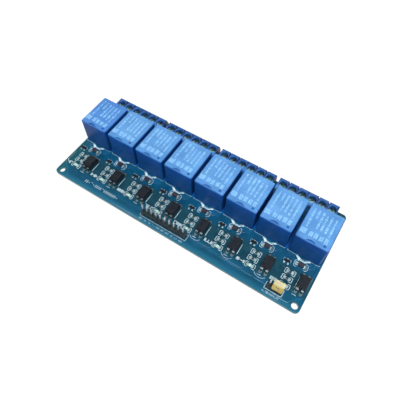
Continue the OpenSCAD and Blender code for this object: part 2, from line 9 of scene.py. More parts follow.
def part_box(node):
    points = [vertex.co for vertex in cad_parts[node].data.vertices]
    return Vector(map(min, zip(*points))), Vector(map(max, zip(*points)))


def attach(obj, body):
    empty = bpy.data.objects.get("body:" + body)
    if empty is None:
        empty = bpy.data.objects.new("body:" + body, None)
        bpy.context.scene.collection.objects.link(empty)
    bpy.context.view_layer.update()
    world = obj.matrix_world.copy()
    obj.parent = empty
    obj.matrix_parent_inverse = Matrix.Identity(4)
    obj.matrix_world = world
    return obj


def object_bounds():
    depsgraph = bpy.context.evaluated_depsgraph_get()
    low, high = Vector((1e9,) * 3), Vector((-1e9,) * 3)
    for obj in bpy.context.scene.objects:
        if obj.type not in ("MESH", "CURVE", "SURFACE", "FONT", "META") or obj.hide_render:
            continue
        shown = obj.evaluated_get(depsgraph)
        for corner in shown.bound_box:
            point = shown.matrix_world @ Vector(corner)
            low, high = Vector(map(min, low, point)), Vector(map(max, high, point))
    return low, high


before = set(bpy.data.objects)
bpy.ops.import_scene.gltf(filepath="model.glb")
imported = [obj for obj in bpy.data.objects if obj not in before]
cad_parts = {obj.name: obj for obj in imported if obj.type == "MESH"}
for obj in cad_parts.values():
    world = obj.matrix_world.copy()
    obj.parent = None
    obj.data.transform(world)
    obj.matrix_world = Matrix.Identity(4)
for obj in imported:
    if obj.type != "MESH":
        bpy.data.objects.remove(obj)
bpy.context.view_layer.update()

MM = 0.001
rng = random.Random(11)

# ---------------------------------------------------------------- places taken from the model
CHANNELS = range(1, 9)
cover = {i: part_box(f"relay_cover_{i}") for i in CHANNELS}
opto = {i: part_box(f"optocoupler_{i}") for i in CHANNELS}
block = {i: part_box(f"terminal_housing_{i}") for i in CHANNELS}
board_lo, board_hi = (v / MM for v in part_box("pcb"))
board_top, board_under = board_hi.z, board_lo.z


def mid(low_high):
    """Middle of a box, in millimetres."""
    return (low_high[0] + low_high[1]) / 2 / MM


relay_x = {i: mid(cover[i]).x for i in CHANNELS}
block_x = {i: mid(block[i]).x for i in CHANNELS}
opto_at = {i: mid(opto[i]) for i in CHANNELS}
relay_front = cover[1][0].y / MM
relay_back = cover[1][1].y / MM
relay_half = (cover[1][1].x - cover[1][0].x) / 2 / MM
relay_top = cover[1][1].z / MM
signal_lo, signal_hi = (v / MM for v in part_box("signal_header_base"))
jumper_lo, jumper_hi = (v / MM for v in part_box("jumper_header_base"))
PIN_PITCH = 2.54
CHANNEL_PITCH = relay_x[2] - relay_x[1]
signal_pins = [(signal_lo.x + signal_hi.x) / 2 + (k - 4.5) * PIN_PITCH for k in range(10)]
signal_y = (signal_lo.y + signal_hi.y) / 2
jumper_pins = [(jumper_lo.x + jumper_hi.x) / 2 + (k - 1) * PIN_PITCH for k in range(3)]
jumper_y = (jumper_lo.y + jumper_hi.y) / 2
block_front = block[1][0].y / MM
TERMINAL_PIN_Y = block_front + 1.6
SCREW_Y = block_front + 3.6
POLE = 5.08
PAIR_PITCH = block_x[3] - block_x[1]

# pins under a relay, from its middle
RELAY_PIN_X = 6.0
COIL_Y = relay_front + 4.5
COMMON_Y = relay_front + 2.5
CONTACT_Y = relay_front + 16.7

# leads of an optocoupler, from its middle
OPTO_LEAD_X = PIN_PITCH / 2
OPTO_LEAD_Y = 1.5 * PIN_PITCH

# small parts of a channel: x from the middle of its relay, y on the board
DIODE = (0.75, -7.1)
TRANSISTOR = (-5.6, -8.55)
RESISTORS = ((-2.0, -12.5), (-2.0, -15.95))
LED = (-1.6, -19.4)


# ---------------------------------------------------------------- shapes
def arc(cx, cy, r, start, end, steps):
    """Points on an arc, in degrees."""
    turn = [math.radians(start + (end - start) * k / steps) for k in range(steps + 1)]
    return [(cx + r * math.cos(t), cy + r * math.sin(t)) for t in turn]


def disc(cx, cy, r, steps=20):
    """Closed outline of a circle."""
    return arc(cx, cy, r, 0, 360, steps)[:-1]


def slab(x0, y0, x1, y1, r, steps=2):
    """Closed outline of a rounded rectangle."""
    r = min(r, (x1 - x0) / 2 - 1e-4, (y1 - y0) / 2 - 1e-4)
    corners = ((x1 - r, y1 - r, 0), (x0 + r, y1 - r, 90), (x0 + r, y0 + r, 180), (x1 - r, y0 + r, 270))
    return [p for cx, cy, a in corners for p in arc(cx, cy, r, a, a + 90, steps)]


def curve_of(paths, closed):
    """A curve with one straight-sided spline for each path, in metres."""
    data = bpy.data.curves.new("path", "CURVE")
    data.dimensions = "2D"
    for path in paths:
        spline = data.splines.new("POLY")
        spline.points.add(len(path) - 1)
        for point, (x, y) in zip(spline.points, path):
            point.co = (x * MM, y * MM, 0, 1)
        spline.use_cyclic_u = closed
    return data


def mesh_of(data, lift):
    """The curve as a closed mesh, raised by lift millimetres."""
    holder = bpy.data.objects.new("path", data)
    bpy.context.scene.collection.objects.link(holder)
    bpy.context.view_layer.update()
    mesh = bpy.data.meshes.new_from_object(holder.evaluated_get(bpy.context.evaluated_depsgraph_get()))
    bpy.data.objects.remove(holder)
    mesh.transform(Matrix.Translation((0, 0, lift * MM)))
    return mesh


def flats(outlines, low, thick, edge=0.008):
    """Filled outlines from low up by thick; one outline inside another is a hole."""
    data = curve_of(outlines, True)
    data.fill_mode = "BOTH"
    data.extrude = (thick / 2 - edge) * MM
    data.bevel_depth = edge * MM
    data.bevel_resolution = 0
    data.offset = -edge * MM
    return mesh_of(data, low + thick / 2)


def strokes(paths, width, low, thick, closed=False):
    """Flat lines of one width along the paths."""
    section = bpy.data.objects.new("section", curve_of([slab(-width / 2, -thick / 2, width / 2, thick / 2,
                                                             thick * 0.3, 1)], True))
    bpy.context.scene.collection.objects.link(section)
    data = curve_of(paths, closed)
    data.dimensions = "3D"
    data.twist_mode = "Z_UP"
    data.bevel_mode = "OBJECT"
    data.bevel_object = section
    data.use_fill_caps = True
    mesh = mesh_of(data, low + thick / 2)
    bpy.data.objects.remove(section)
    return mesh


def piece(name, meshes, material):
    """One object from several meshes, riding on the board's body."""
    bm = bmesh.new()
    for mesh in meshes:
        bm.from_mesh(mesh)
        bpy.data.meshes.remove(mesh)
    bmesh.ops.remove_doubles(bm, verts=bm.verts, dist=2e-7)
    bmesh.ops.recalc_face_normals(bm, faces=bm.faces)
    done = bpy.data.meshes.new(name)
    bm.to_mesh(done)
    bm.free()
    done.materials.clear()
    done.materials.append(material)
    for polygon in done.polygons:
        polygon.material_index = 0
    thing = bpy.data.objects.new(name, done)
    bpy.context.scene.collection.objects.link(thing)
    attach(thing, "root")


# ---------------------------------------------------------------- materials
class Nodes:
    """Short calls that add nodes to one tree."""

    def __init__(self, tree):
        self.tree = tree

    def node(self, kind, outlet=0, settings=None, **values):
        """A new node's outlet; values go to its sockets by name, or by number as i0, i1 and so on."""
        made = self.tree.nodes.new("ShaderNode" + kind)
        for key, value in (settings or {}).items():
            setattr(made, key, value)
        for key, value in values.items():
            socket = made.inputs[int(key[1:])] if key[0] == "i" and key[1:].isdigit() else made.inputs[key]
            if isinstance(value, bpy.types.NodeSocket):
                self.tree.links.new(value, socket)
            else:
                socket.default_value = value
        return made.outputs[outlet]

    def math(self, operation, a, b=0.0):
        """One step of arithmetic on values or outlets."""
        return self.node("Math", settings={"operation": operation}, i0=a, i1=b)

    def span(self, value, low, high, to_low=0.0, to_high=1.0):
        """Value from low..high, as to_low..to_high, held at the ends."""
        return self.node("MapRange", i0=value, i1=low, i2=high, i3=to_low, i4=to_high)


class Finish(Nodes):
    """A material built from the object's own coordinates."""

    def __init__(self, name, rough, metal=0.0, specular=0.5):
        self.material = bpy.data.materials.new(name)
        self.material.use_nodes = True
        super().__init__(self.material.node_tree)
        self.shader = self.tree.nodes["Principled BSDF"]
        self.shader.inputs["Metallic"].default_value = metal
        self.shader.inputs["Roughness"].default_value = rough
        self.shader.inputs["Specular IOR Level"].default_value = specular
        self.where = self.tree.nodes.new("ShaderNodeTexCoord").outputs["Object"]
        self.relief = None

    def noise(self, grain, detail=3.0, stretch=(1, 1, 1)):
        """Noise whose grain is in millimetres."""
        spread = self.node("VectorMath", settings={"operation": "MULTIPLY"}, i0=self.where,
                           i1=tuple(s / (grain * MM) for s in stretch))
        return self.node("TexNoise", Vector=spread, Scale=1.0, Detail=detail, Roughness=0.55)

    def axis(self, name):
        """One coordinate, in millimetres."""
        parts = self.node("SeparateXYZ", outlet=name.upper(), i0=self.where)
        return self.math("MULTIPLY", parts, 1 / MM)

    def within(self, value, pitch, first):
        """Place within a repeat, from -pitch / 2 to pitch / 2, counted from the first one's middle.

        It holds from the first repeat on, not below it.
        """
        shifted = self.math("ADD", value, pitch / 2 - first)
        return self.math("SUBTRACT", self.math("MODULO", shifted, pitch), pitch / 2)

    def facing(self, name):
        """How far the surface faces along an axis, from -1 to 1."""
        normal = self.node("NewGeometry", outlet=1)
        turned = self.node("VectorTransform", settings={"vector_type": "NORMAL", "convert_from": "WORLD",
                                                        "convert_to": "OBJECT"}, i0=normal)
        return self.node("SeparateXYZ", outlet=name.upper(), i0=turned)

    def blend(self, share, a, b):
        """Colour a, with a share of colour b."""
        a, b = ((*tone, 1.0) if isinstance(tone, tuple) else tone for tone in (a, b))
        return self.node("Mix", outlet=2, settings={"data_type": "RGBA"}, i0=share, i6=a, i7=b)

    def colour(self, value):
        """Makes an outlet the base colour."""
        self.tree.links.new(value, self.shader.inputs["Base Color"])

    def tones(self, dark, light, grain, detail=3.0, stretch=(1, 1, 1)):
        """A colour that wanders between two tones."""
        share = self.span(self.noise(grain, detail, stretch), 0.34, 0.66)
        return self.blend(share, dark, light)

    def roughness(self, low, high, grain, stretch=(1, 1, 1)):
        """A roughness that wanders between two values."""
        share = self.span(self.noise(grain, 2.0, stretch), 0.3, 0.7, low, high)
        self.tree.links.new(share, self.shader.inputs["Roughness"])

    def glow_through(self, weight, radius, reach):
        """Light that enters the plastic and leaves it up to reach millimetres away."""
        self.shader.inputs["Subsurface Weight"].default_value = weight
        self.shader.inputs["Subsurface Radius"].default_value = radius
        self.shader.inputs["Subsurface Scale"].default_value = reach * MM

    def bump(self, value, depth, strength):
        """Adds a relief of the given depth in millimetres."""
        values = {"Height": value, "Distance": depth * MM, "Strength": strength}
        if self.relief is not None:
            values["Normal"] = self.relief
        self.relief = self.node("Bump", **values)
        self.tree.links.new(self.relief, self.shader.inputs["Normal"])


def mask_tones(f, lift):
    """Solder mask on both faces; lift is 0 on bare board and 1 over copper.

    On top, from the back: bare board, painted light that turns the shaded board between the relays a brighter
    blue, poured copper in front of them, bare board among the small parts, and a strip with a painted
    reflection that lightens it towards the front edge.
    """
    y = f.axis("y")
    wander = f.math("MULTIPLY", f.math("SUBTRACT", f.noise(6.0, 2.0), 0.5), 2.4)
    y = f.math("ADD", y, wander)

    def lifted(tone):
        red, green, blue = tone
        return red * (1 + 0.7 * lift) + 0.001 * lift, green * (1 + 0.28 * lift), blue * (1 + 0.30 * lift)

    poured = f.tones(lifted((0.002, 0.060, 0.140)), lifted((0.004, 0.088, 0.195)), 5.0)
    bare = f.tones(lifted((0.003, 0.042, 0.074)), lifted((0.010, 0.066, 0.104)), 3.0)
    strip = f.tones(lifted((0.002, 0.064, 0.128)), lifted((0.006, 0.092, 0.192)), 6.0)
    mask = f.blend(f.span(y, relay_front - 7.6, relay_front - 5.4), bare, poured)
    mask = f.blend(f.span(y, board_lo.y + 8.2, board_lo.y + 6.6), mask, strip)
    # painted reflection: the strip lightens towards the front edge
    mask = f.blend(f.span(y, board_lo.y + 3.0, board_lo.y + 1.0, 0.0, 0.75), mask, (0.020, 0.155, 0.265))
    mask = f.blend(f.span(y, relay_back - 1.5, relay_back + 2.0), mask, bare)
    left_end = f.span(f.axis("x"), board_lo.x + 8.0, board_lo.x + 1.0, 0.0, 0.6)
    mask = f.blend(left_end, mask, (0.012, 0.125, 0.150))
    # painted light: the shaded board between the relays is given a brighter, bluer tone
    between = f.math("MULTIPLY", f.span(y, relay_front - 0.2, relay_front + 1.6),
                     f.span(y, relay_back + 0.5, relay_back - 1.5))
    inner = f.span(f.math("ABSOLUTE", f.axis("x")), relay_x[8] + 2.0, relay_x[8])
    mask = f.blend(f.math("MULTIPLY", between, inner), mask, (0.004, 0.090, 0.400))
    fine = f.span(f.noise(0.8, 4.0), 0.42, 0.70, 0.0, 0.30)
    mask = f.blend(fine, mask, lifted((0.010, 0.105, 0.130)))
    below = f.span(f.facing("z"), -0.6, -0.8)
    under = f.tones((0.003 + 0.006 * lift, 0.054 + 0.062 * lift, 0.130 + 0.115 * lift),
                    (0.008 + 0.008 * lift, 0.082 + 0.070 * lift, 0.185 + 0.125 * lift), 4.0)
    return f.blend(below, mask, under)


def board_finish():
    """Blue solder mask on both faces, bare laminate at the cut edges and in the holes."""
    f = Finish("solder_mask_board", 0.3, specular=0.3)
    core = f.tones((0.008, 0.150, 0.180), (0.024, 0.215, 0.240), 0.35, 2.0, (0.4, 0.4, 3.0))
    flat_face = f.span(f.math("ABSOLUTE", f.facing("z")), 0.5, 0.75)
    f.colour(f.blend(flat_face, core, mask_tones(f, 0.0)))
    f.roughness(0.12, 0.20, 4.0)
    weave_x = f.node("TexWave", settings={"bands_direction": "X"}, Vector=f.where, Scale=320.0)
    weave_y = f.node("TexWave", settings={"bands_direction": "Y"}, Vector=f.where, Scale=320.0)
    f.bump(f.math("ADD", weave_x, weave_y), 0.004, 0.35)
    f.bump(f.noise(1.6, 2.0), 0.02, 0.4)
    return f.material


def relay_base_finish():
    """Moulded plastic: slow changes of tone and a fine spark-eroded skin."""
    f = Finish("relay_base_blue", 0.5)
    f.colour(f.tones((0.012, 0.090, 0.330), (0.020, 0.130, 0.440), 5.0))
    f.roughness(0.44, 0.58, 2.5)
    f.bump(f.noise(0.10), 0.006, 0.5)
    return f.material


def terminal_finish():
    """The blue of the terminal blocks, with painted shade that darkens it towards their back edge and most
    between the poles.
    """
    f = Finish("terminal_blue", 0.40)
    y = f.axis("y")
    shaded_back = f.tones((0.016, 0.088, 0.290), (0.026, 0.120, 0.370), 5.0)
    clear = f.tones((0.040, 0.190, 0.500), (0.070, 0.250, 0.620), 5.0)
    # painted shade: the blue darkens towards the back edge of each block
    blue = f.blend(f.span(y, SCREW_Y - 2.2, SCREW_Y + 0.4), clear, shaded_back)
    in_pair = f.within(f.axis("x"), PAIR_PITCH, (block_x[1] + block_x[2]) / 2)
    above_zero = f.math("ADD", in_pair, 4 * POLE)
    in_pole = f.within(above_zero, POLE, POLE / 2)
    # painted shade: dark bands where the poles meet, behind the screws
    pole_edge_shade = f.span(f.math("ABSOLUTE", in_pole), POLE / 2 - 0.75, POLE / 2 - 0.25)
    between = f.math("MULTIPLY", pole_edge_shade, f.span(y, SCREW_Y - 1.4, SCREW_Y))
    f.colour(f.blend(f.math("MULTIPLY", between, 0.85), blue, (0.004, 0.028, 0.120)))
    f.roughness(0.34, 0.48, 2.5)
    f.bump(f.noise(0.10), 0.006, 0.5)
    return f.material


def screw_finish():
    """Zinc tinted blue by a painted reflection of the blue blocks round it, with a painted highlight at the
    front of each head and painted shade behind, where the well shades it.
    """
    f = Finish("zinc_plated_screw", 0.38, metal=0.7)
    painted_highlight = f.tones((0.32, 0.62, 0.68), (0.52, 0.82, 0.84), 0.8)
    shaded = f.tones((0.01, 0.05, 0.08), (0.05, 0.11, 0.14), 0.8)
    # painted highlight at the front of each head, painted shade behind it, both tinted blue as a painted
    # reflection
    f.colour(f.blend(f.span(f.axis("y"), SCREW_Y - 0.9, SCREW_Y + 0.7), painted_highlight, shaded))
    f.roughness(0.32, 0.50, 0.6)
    f.bump(f.noise(0.12), 0.004, 0.6)
    return f.material


def relay_case_finish():
    """Blue case with painted light and shade: dark blue sides with painted shade that darkens them towards
    the board, a top painted lighter as a sheen from the light above, and painted shade in the sunken marks on
    top.

    The painted sheen is lightest behind the top's front edge, a little less on the last relay, and darker on
    the first.
    """
    f = Finish("relay_case_blue", 0.46, specular=0.25)
    x, z, upward = f.axis("x"), f.axis("z"), f.facing("z")
    flat_half = relay_half - 0.75
    # painted shade: the sides darken towards the board
    shaded_low_side = f.tones((0.001, 0.050, 0.205), (0.003, 0.066, 0.252), 8.0)
    high_side = f.tones((0.001, 0.056, 0.285), (0.003, 0.074, 0.350), 8.0)
    sides = f.blend(f.span(z, relay_top - 7.0, relay_top - 1.0), shaded_low_side, high_side)
    # painted sheen: the top's lighter tones stand for the light above reflected in the top
    plain = f.tones((0.072, 0.235, 0.545), (0.108, 0.310, 0.660), 8.0)
    palest_sheen = f.tones((0.094, 0.272, 0.590), (0.138, 0.358, 0.712), 8.0)
    deepest_sheen = f.tones((0.058, 0.194, 0.525), (0.086, 0.256, 0.635), 8.0)
    behind_edge = f.span(f.axis("y"), relay_front + 2.2, relay_front + 4.4)
    last_less = f.span(x, relay_x[7] + flat_half, relay_x[8] - flat_half, 1.0, 0.5)
    top = f.blend(f.math("MULTIPLY", behind_edge, last_less), plain, palest_sheen)
    top = f.blend(f.span(x, relay_x[2] - flat_half, relay_x[1] + flat_half), top, deepest_sheen)
    # painted light: the top is lighter than the sides
    base = f.blend(f.span(upward, 0.35, 0.95), sides, top)
    specks = f.span(f.noise(0.25, 2.0), 0.60, 0.72, 0.0, 0.25)
    base = f.blend(specks, base, (0.17, 0.44, 0.82))
    # painted shade in the sunken marks on the top
    recess_shade = f.math("MULTIPLY", f.span(z, relay_top - 0.03, relay_top - 0.08), f.span(upward, 0.6, 0.8))
    f.colour(f.blend(f.math("MULTIPLY", recess_shade, 0.75), base, (0.012, 0.100, 0.400)))
    f.glow_through(0.40, (0.10, 0.5, 1.0), 4.0)
    f.roughness(0.40, 0.56, 3.0)
    f.bump(f.noise(0.16), 0.006, 0.5)
    f.bump(f.noise(5.0, 2.0), 0.05, 0.5)
    return f.material


def metal(name, dark, light, rough):
    """Plain or plated metal with a slightly uneven skin."""
    f = Finish(name, rough, metal=1.0)
    f.colour(f.tones(dark, light, 1.2))
    f.roughness(rough - 0.07, rough + 0.12, 0.6)
    f.bump(f.noise(0.12), 0.004, 0.6)
    return f.material


def opto_lead_finish():
    """Tinned leads, bright on the shoulder, with painted shade that dulls them down to the board."""
    f = Finish("optocoupler_lead_tin", 0.38, metal=1.0)
    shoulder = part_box("optocoupler_leads")[1].z / MM
    # painted shade: the lead is dull below its shoulder
    share = f.span(f.axis("z"), shoulder - 0.30, shoulder - 0.05)
    dull = f.tones((0.02, 0.03, 0.03), (0.08, 0.10, 0.10), 0.5)
    f.colour(f.blend(share, dull, f.tones((0.36, 0.40, 0.45), (0.54, 0.58, 0.63), 0.6)))
    f.roughness(0.30, 0.46, 0.5)
    f.bump(f.noise(0.12), 0.004, 0.6)
    return f.material


def package_finish(name, dark, light):
    """Dark moulded body with an even, fine grain."""
    f = Finish(name, 0.5, specular=0.35)
    f.colour(f.tones(dark, light, 1.6))
    f.roughness(0.42, 0.60, 0.8)
    f.bump(f.noise(0.09), 0.008, 0.6)
    return f.material


def resistor_finish():
    """White ceramic with a dark glaze over the resistive film on top."""
    f = Finish("glazed_ceramic", 0.35)
    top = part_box("resistors")[1].z / MM
    share = f.span(f.axis("z"), top - 0.08, top - 0.04)
    glaze = f.tones((0.024, 0.042, 0.050), (0.058, 0.088, 0.098), 0.5)
    body = f.tones((0.40, 0.50, 0.52), (0.58, 0.68, 0.70), 0.4)
    f.colour(f.blend(share, body, glaze))
    f.roughness(0.25, 0.42, 0.5)
    f.bump(f.noise(0.15, 2.0), 0.004, 0.5)
    return f.material


def led_finish():
    """Pale resin lens on a white base."""
    f = Finish("led_resin", 0.22)
    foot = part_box("leds")[0].z / MM
    share = f.span(f.axis("z"), foot + 0.30, foot + 0.40)
    resin = f.tones((0.46, 0.86, 0.70), (0.66, 0.96, 0.84), 0.6)
    base = f.tones((0.74, 0.76, 0.70), (0.86, 0.87, 0.82), 0.5)
    f.colour(f.blend(share, base, resin))
    f.roughness(0.14, 0.28, 0.5)
    f.bump(f.noise(0.3, 2.0), 0.004, 0.4)
    return f.material


def cap_finish():
    """Yellow plastic, lighter and greyer where it faces the light above: a painted highlight."""
    f = Finish("jumper_cap_yellow", 0.42)
    body = f.tones((0.98, 0.57, 0.12), (1.0, 0.66, 0.20), 1.5)
    painted_highlight = f.tones((0.52, 0.50, 0.34), (0.62, 0.62, 0.44), 1.0)
    # painted highlight on the faces that look up
    share = f.span(f.facing("z"), 0.3, 0.8)
    f.colour(f.blend(f.math("MULTIPLY", share, 0.85), body, painted_highlight))
    f.glow_through(0.5, (1.0, 0.7, 0.3), 2.5)
    f.roughness(0.34, 0.50, 1.0)
    f.bump(f.noise(0.12), 0.006, 0.5)
    return f.material


def header_pin_finish():
    """Square pins, bright at the tips, with painted shade that dulls them towards the plastic."""
    f = Finish("header_pin_plating", 0.28, metal=1.0)
    # painted shade: the pins darken towards the plastic
    share = f.span(f.axis("z"), board_top + 4.4, board_top + 6.0)
    drawn = (1, 1, 0.3)
    dull = f.tones((0.10, 0.12, 0.12), (0.20, 0.22, 0.21), 0.8, 2.0, drawn)
    bright = f.tones((0.92, 0.93, 0.97), (0.97, 0.98, 1.0), 0.8, 2.0, drawn)
    f.colour(f.blend(share, dull, bright))
    f.roughness(0.26, 0.42, 0.7, (1, 1, 0.25))
    f.bump(f.noise(0.10, 2.0, (1, 1, 0.2)), 0.004, 0.5)
    return f.material


def solder_finish():
    """Solder with a soft ripple where it froze."""
    f = Finish("tin_solder", 0.22, metal=1.0)
    f.colour(f.tones((0.62, 0.63, 0.65), (0.80, 0.80, 0.82), 0.7))
    f.roughness(0.14, 0.34, 0.4)
    f.bump(f.noise(0.45), 0.03, 0.5)
    return f.material


def pad_finish():
    """Levelled tin on bare pads: satin and a little green from a painted reflection of the board, with
    painted shade that dulls them round the optocouplers.
    """
    f = Finish("tinned_pad", 0.46, metal=0.5)
    # the green-blue tint is a painted reflection of the board
    satin = f.tones((0.34, 0.50, 0.52), (0.56, 0.74, 0.78), 0.6)
    in_channel = f.within(f.axis("x"), CHANNEL_PITCH, relay_x[1])
    off_opto = f.math("ABSOLUTE", f.math("SUBTRACT", in_channel, opto_at[1].x - relay_x[1]))
    dull = f.tones((0.08, 0.15, 0.17), (0.18, 0.27, 0.30), 0.5)
    # painted shade: pads round the optocouplers are dulled
    opto_shade = f.math("MULTIPLY", f.span(off_opto, 2.5, 2.2), f.span(f.axis("z"), board_under, board_top))
    f.colour(f.blend(opto_shade, satin, dull))
    f.roughness(0.36, 0.56, 0.5)
    f.bump(f.noise(0.35), 0.012, 0.5)
    return f.material


def ink_finish():
    """White ink, thinner round the diodes and along the front edge, and darkened by painted shade beside the
    relays.
    """
    f = Finish("white_ink", 0.55, specular=0.35)
    y = f.axis("y")
    ink = f.tones((0.52, 0.76, 0.87), (0.80, 0.95, 0.98), 0.9)
    by_diodes = f.math("MULTIPLY", f.span(y, relay_front - 6.4, relay_front - 6.0, 0.0, 0.30),
                       f.span(y, relay_front - 2.2, relay_front - 2.6))
    # painted shade: lines beside the relays are darkened towards the board's blue
    relay_shade = f.span(y, relay_front - 0.60, relay_front - 0.40, 0.0, 0.62)
    by_edge = f.span(y, board_lo.y + 2.6, board_lo.y + 2.2, 0.0, 0.34)
    thin_ink_and_shade = f.math("MAXIMUM", by_diodes, f.math("MAXIMUM", relay_shade, by_edge))
    f.colour(f.blend(thin_ink_and_shade, ink, (0.020, 0.180, 0.290)))
    f.roughness(0.46, 0.64, 0.7)
    f.bump(f.noise(0.10), 0.004, 0.5)
    return f.material


def relay_ink_finish():
    """Pale blue print on the relays' tops."""
    f = Finish("pale_pad_print", 0.5, specular=0.4)
    f.colour(f.tones((0.17, 0.46, 0.86), (0.34, 0.64, 0.96), 0.9))
    f.roughness(0.42, 0.58, 0.7)
    f.bump(f.noise(0.12, 2.0), 0.003, 0.4)
    return f.material


def masked_copper_finish():
    """The same mask over copper, a little lighter."""
    f = Finish("mask_over_copper", 0.28, specular=0.3)
    f.colour(mask_tones(f, 1.0))
    f.roughness(0.13, 0.22, 2.0)
    f.bump(f.noise(1.2, 2.0), 0.01, 0.4)
    return f.material


board_mask = board_finish()
case_blue = relay_case_finish()
base_blue = relay_base_finish()
terminal_blue = terminal_finish()
header_black = package_finish("header_black", (0.008, 0.018, 0.022), (0.020, 0.036, 0.042))
zinc = screw_finish()
nickel = metal("nickel_plated_clamp", (0.46, 0.45, 0.42), (0.64, 0.63, 0.60), 0.32)
tin = metal("tinned_copper", (0.62, 0.62, 0.63), (0.80, 0.80, 0.81), 0.26)
lead_tin = metal("dull_tinned_lead", (0.30, 0.40, 0.44), (0.50, 0.60, 0.64), 0.40)
brass = metal("phosphor_bronze", (0.58, 0.40, 0.18), (0.74, 0.54, 0.28), 0.28)
black_epoxy = package_finish("black_moulded_epoxy", (0.002, 0.005, 0.009), (0.007, 0.012, 0.020))
diode_black = package_finish("dark_diode_package", (0.012, 0.011, 0.020), (0.050, 0.040, 0.064))
ceramic = resistor_finish()
resin = led_finish()
cap_yellow = cap_finish()
pin_plating = header_pin_finish()
opto_tin = opto_lead_finish()
solder = solder_finish()
pad_tin = pad_finish()
ink = ink_finish()
relay_ink = relay_ink_finish()
masked_copper = masked_copper_finish()

FINISHES = {"pcb": board_mask, "relay_cover": case_blue, "relay_base": base_blue, "relay_pins": tin,
            "terminal_housing": terminal_blue, "terminal_screws": zinc, "terminal_clamps": nickel,
            "terminal_pins": tin, "optocoupler_leads": opto_tin, "optocoupler": black_epoxy,
            "transistors": black_epoxy, "transistor_leads": lead_tin, "diodes": diode_black,
            "diode_terminals": pad_tin, "resistors": ceramic, "resistor_ends": pad_tin, "leds": resin,
            "led_ends": pad_tin, "signal_header_base": header_black, "jumper_header_base": header_black,
            "signal_header_pins": pin_plating, "jumper_header_pins": pin_plating, "jumper_cap": cap_yellow,
            "jumper_contact": brass, "solder_joints": solder, "chip_solder": pad_tin}
for name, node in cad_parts.items():
    kind = name.rstrip("0123456789").rstrip("_")
    for slot in node.material_slots:
        slot.material = FINISHES[kind]

# ---------------------------------------------------------------- white ink on the board
INK = 0.035
INK_LOW = board_top + 0.005
CHIP_INK = (2.45, 1.2)  # half length and half width of the brackets round a chip
fine_lines, lines, sills, tabs, arcs = [], [], [], [], []


def bracket(cx, cy, half_l, half_w, side, arm, corner=0.25):
    """A U lying on its side round one end of a part, with cut corners."""
    x, turn = cx + side * half_l, 0.29 * corner
    arm_x, corner_x, turn_x = x - side * arm, x - side * corner, x - side * turn
    return [(arm_x, cy - half_w), (corner_x, cy - half_w), (turn_x, cy - half_w + turn),
            (x, cy - half_w + corner), (x, cy + half_w - corner),
            (turn_x, cy + half_w - turn), (corner_x, cy + half_w), (arm_x, cy + half_w)]


def outline_relay(xc):
    """Lines round a relay's front corners and along its back, and the tab that juts out in front."""
    reach, corner = relay_half + 0.32, 0.6
    front, back = relay_front - 0.30, relay_back + 0.35
    tab_front, tab_end = relay_front - 1.9, front + 0.05
    lines.append([(xc - 3.4, front), *arc(xc - reach + corner, front + corner, corner, 270, 190, 4)])
    lines.append([(xc + 3.55, front), *arc(xc + reach - corner, front + corner, corner, 270, 350, 4)])
    lines.append([(xc - reach + corner, back), (xc + reach - corner, back)])
    tabs.append([(xc - 3.2, tab_end), (xc - 1.05, tab_front)])
    tabs.append([(xc + 2.9, relay_front - 0.95), (xc + 3.65, tab_end)])
    sills.append([(xc - 1.25, tab_front), (xc + 1.85, tab_front - 0.05), (xc + 3.45, tab_end)])
    fine_lines.append([(xc - 2.1, front - 0.15), (xc - 0.7, relay_front - 1.35),
                       (xc + 1.55, relay_front - 1.4), (xc + 2.45, front - 0.15)])


def outline_small_parts(xc):
    """Brackets round the diode and the chips of a channel, and corners behind its transistor."""
    dx, dy = xc + DIODE[0], DIODE[1]
    lines.append(bracket(dx, dy, 3.3, 1.65, 1, 1.5, 0.9))
    lines.append(bracket(dx, dy, 3.25, 1.65, -1, 1.6, 0.5))
    for x, y in (*RESISTORS, LED):
        for side in (-1, 1):
            lines.append(bracket(xc + x, y, *CHIP_INK, side, 1.35))
    tx, ty = xc + TRANSISTOR[0], TRANSISTOR[1]
    for side in (-1, 1):
        post, end = tx + side * 1.75, tx + side * 0.9
        fine_lines.append([(post, ty - 0.1), (post, ty + 1.15), (end, ty + 1.15)])


def outline_opto(i):
    """A line beside an optocoupler, a dash at its foot and, on three channels, an arc round its corner."""
    ox, oy = opto_at[i].x, opto_at[i].y
    beside = ox + 2.85 if i <= 6 else ox - 2.35
    lines.append([(beside, oy - 2.9), (beside, oy + 2.8)])
    fine_lines.append([(ox - 2.3, oy - 6.1), (ox - 0.3, oy - 6.1)])
    if i in (5, 6, 7):
        arcs.append(arc(relay_x[i] + 4.15, -18.7, 3.6, 215, 322, 10))


def header_loop(low, high):
    """Closed line round a header."""
    return slab(low.x - 0.35, low.y - 0.3, high.x + 0.45, high.y + 0.5, 0.3)


for i in CHANNELS:
    outline_relay(relay_x[i])
    outline_small_parts(relay_x[i])
    outline_opto(i)
piece("silkscreen",
      [strokes(fine_lines, 0.18, INK_LOW, INK),
       strokes(arcs, 0.13, INK_LOW + 0.002, INK),
       strokes(lines, 0.22, INK_LOW, INK),
       strokes(sills, 0.5, INK_LOW, INK),
       strokes(tabs, 1.0, INK_LOW + 0.001, INK + 0.004),
       strokes([header_loop(signal_lo, signal_hi)], 0.13, INK_LOW, INK, True),
       strokes([header_loop(jumper_lo, jumper_hi)], 0.2, INK_LOW, INK, True)], ink)


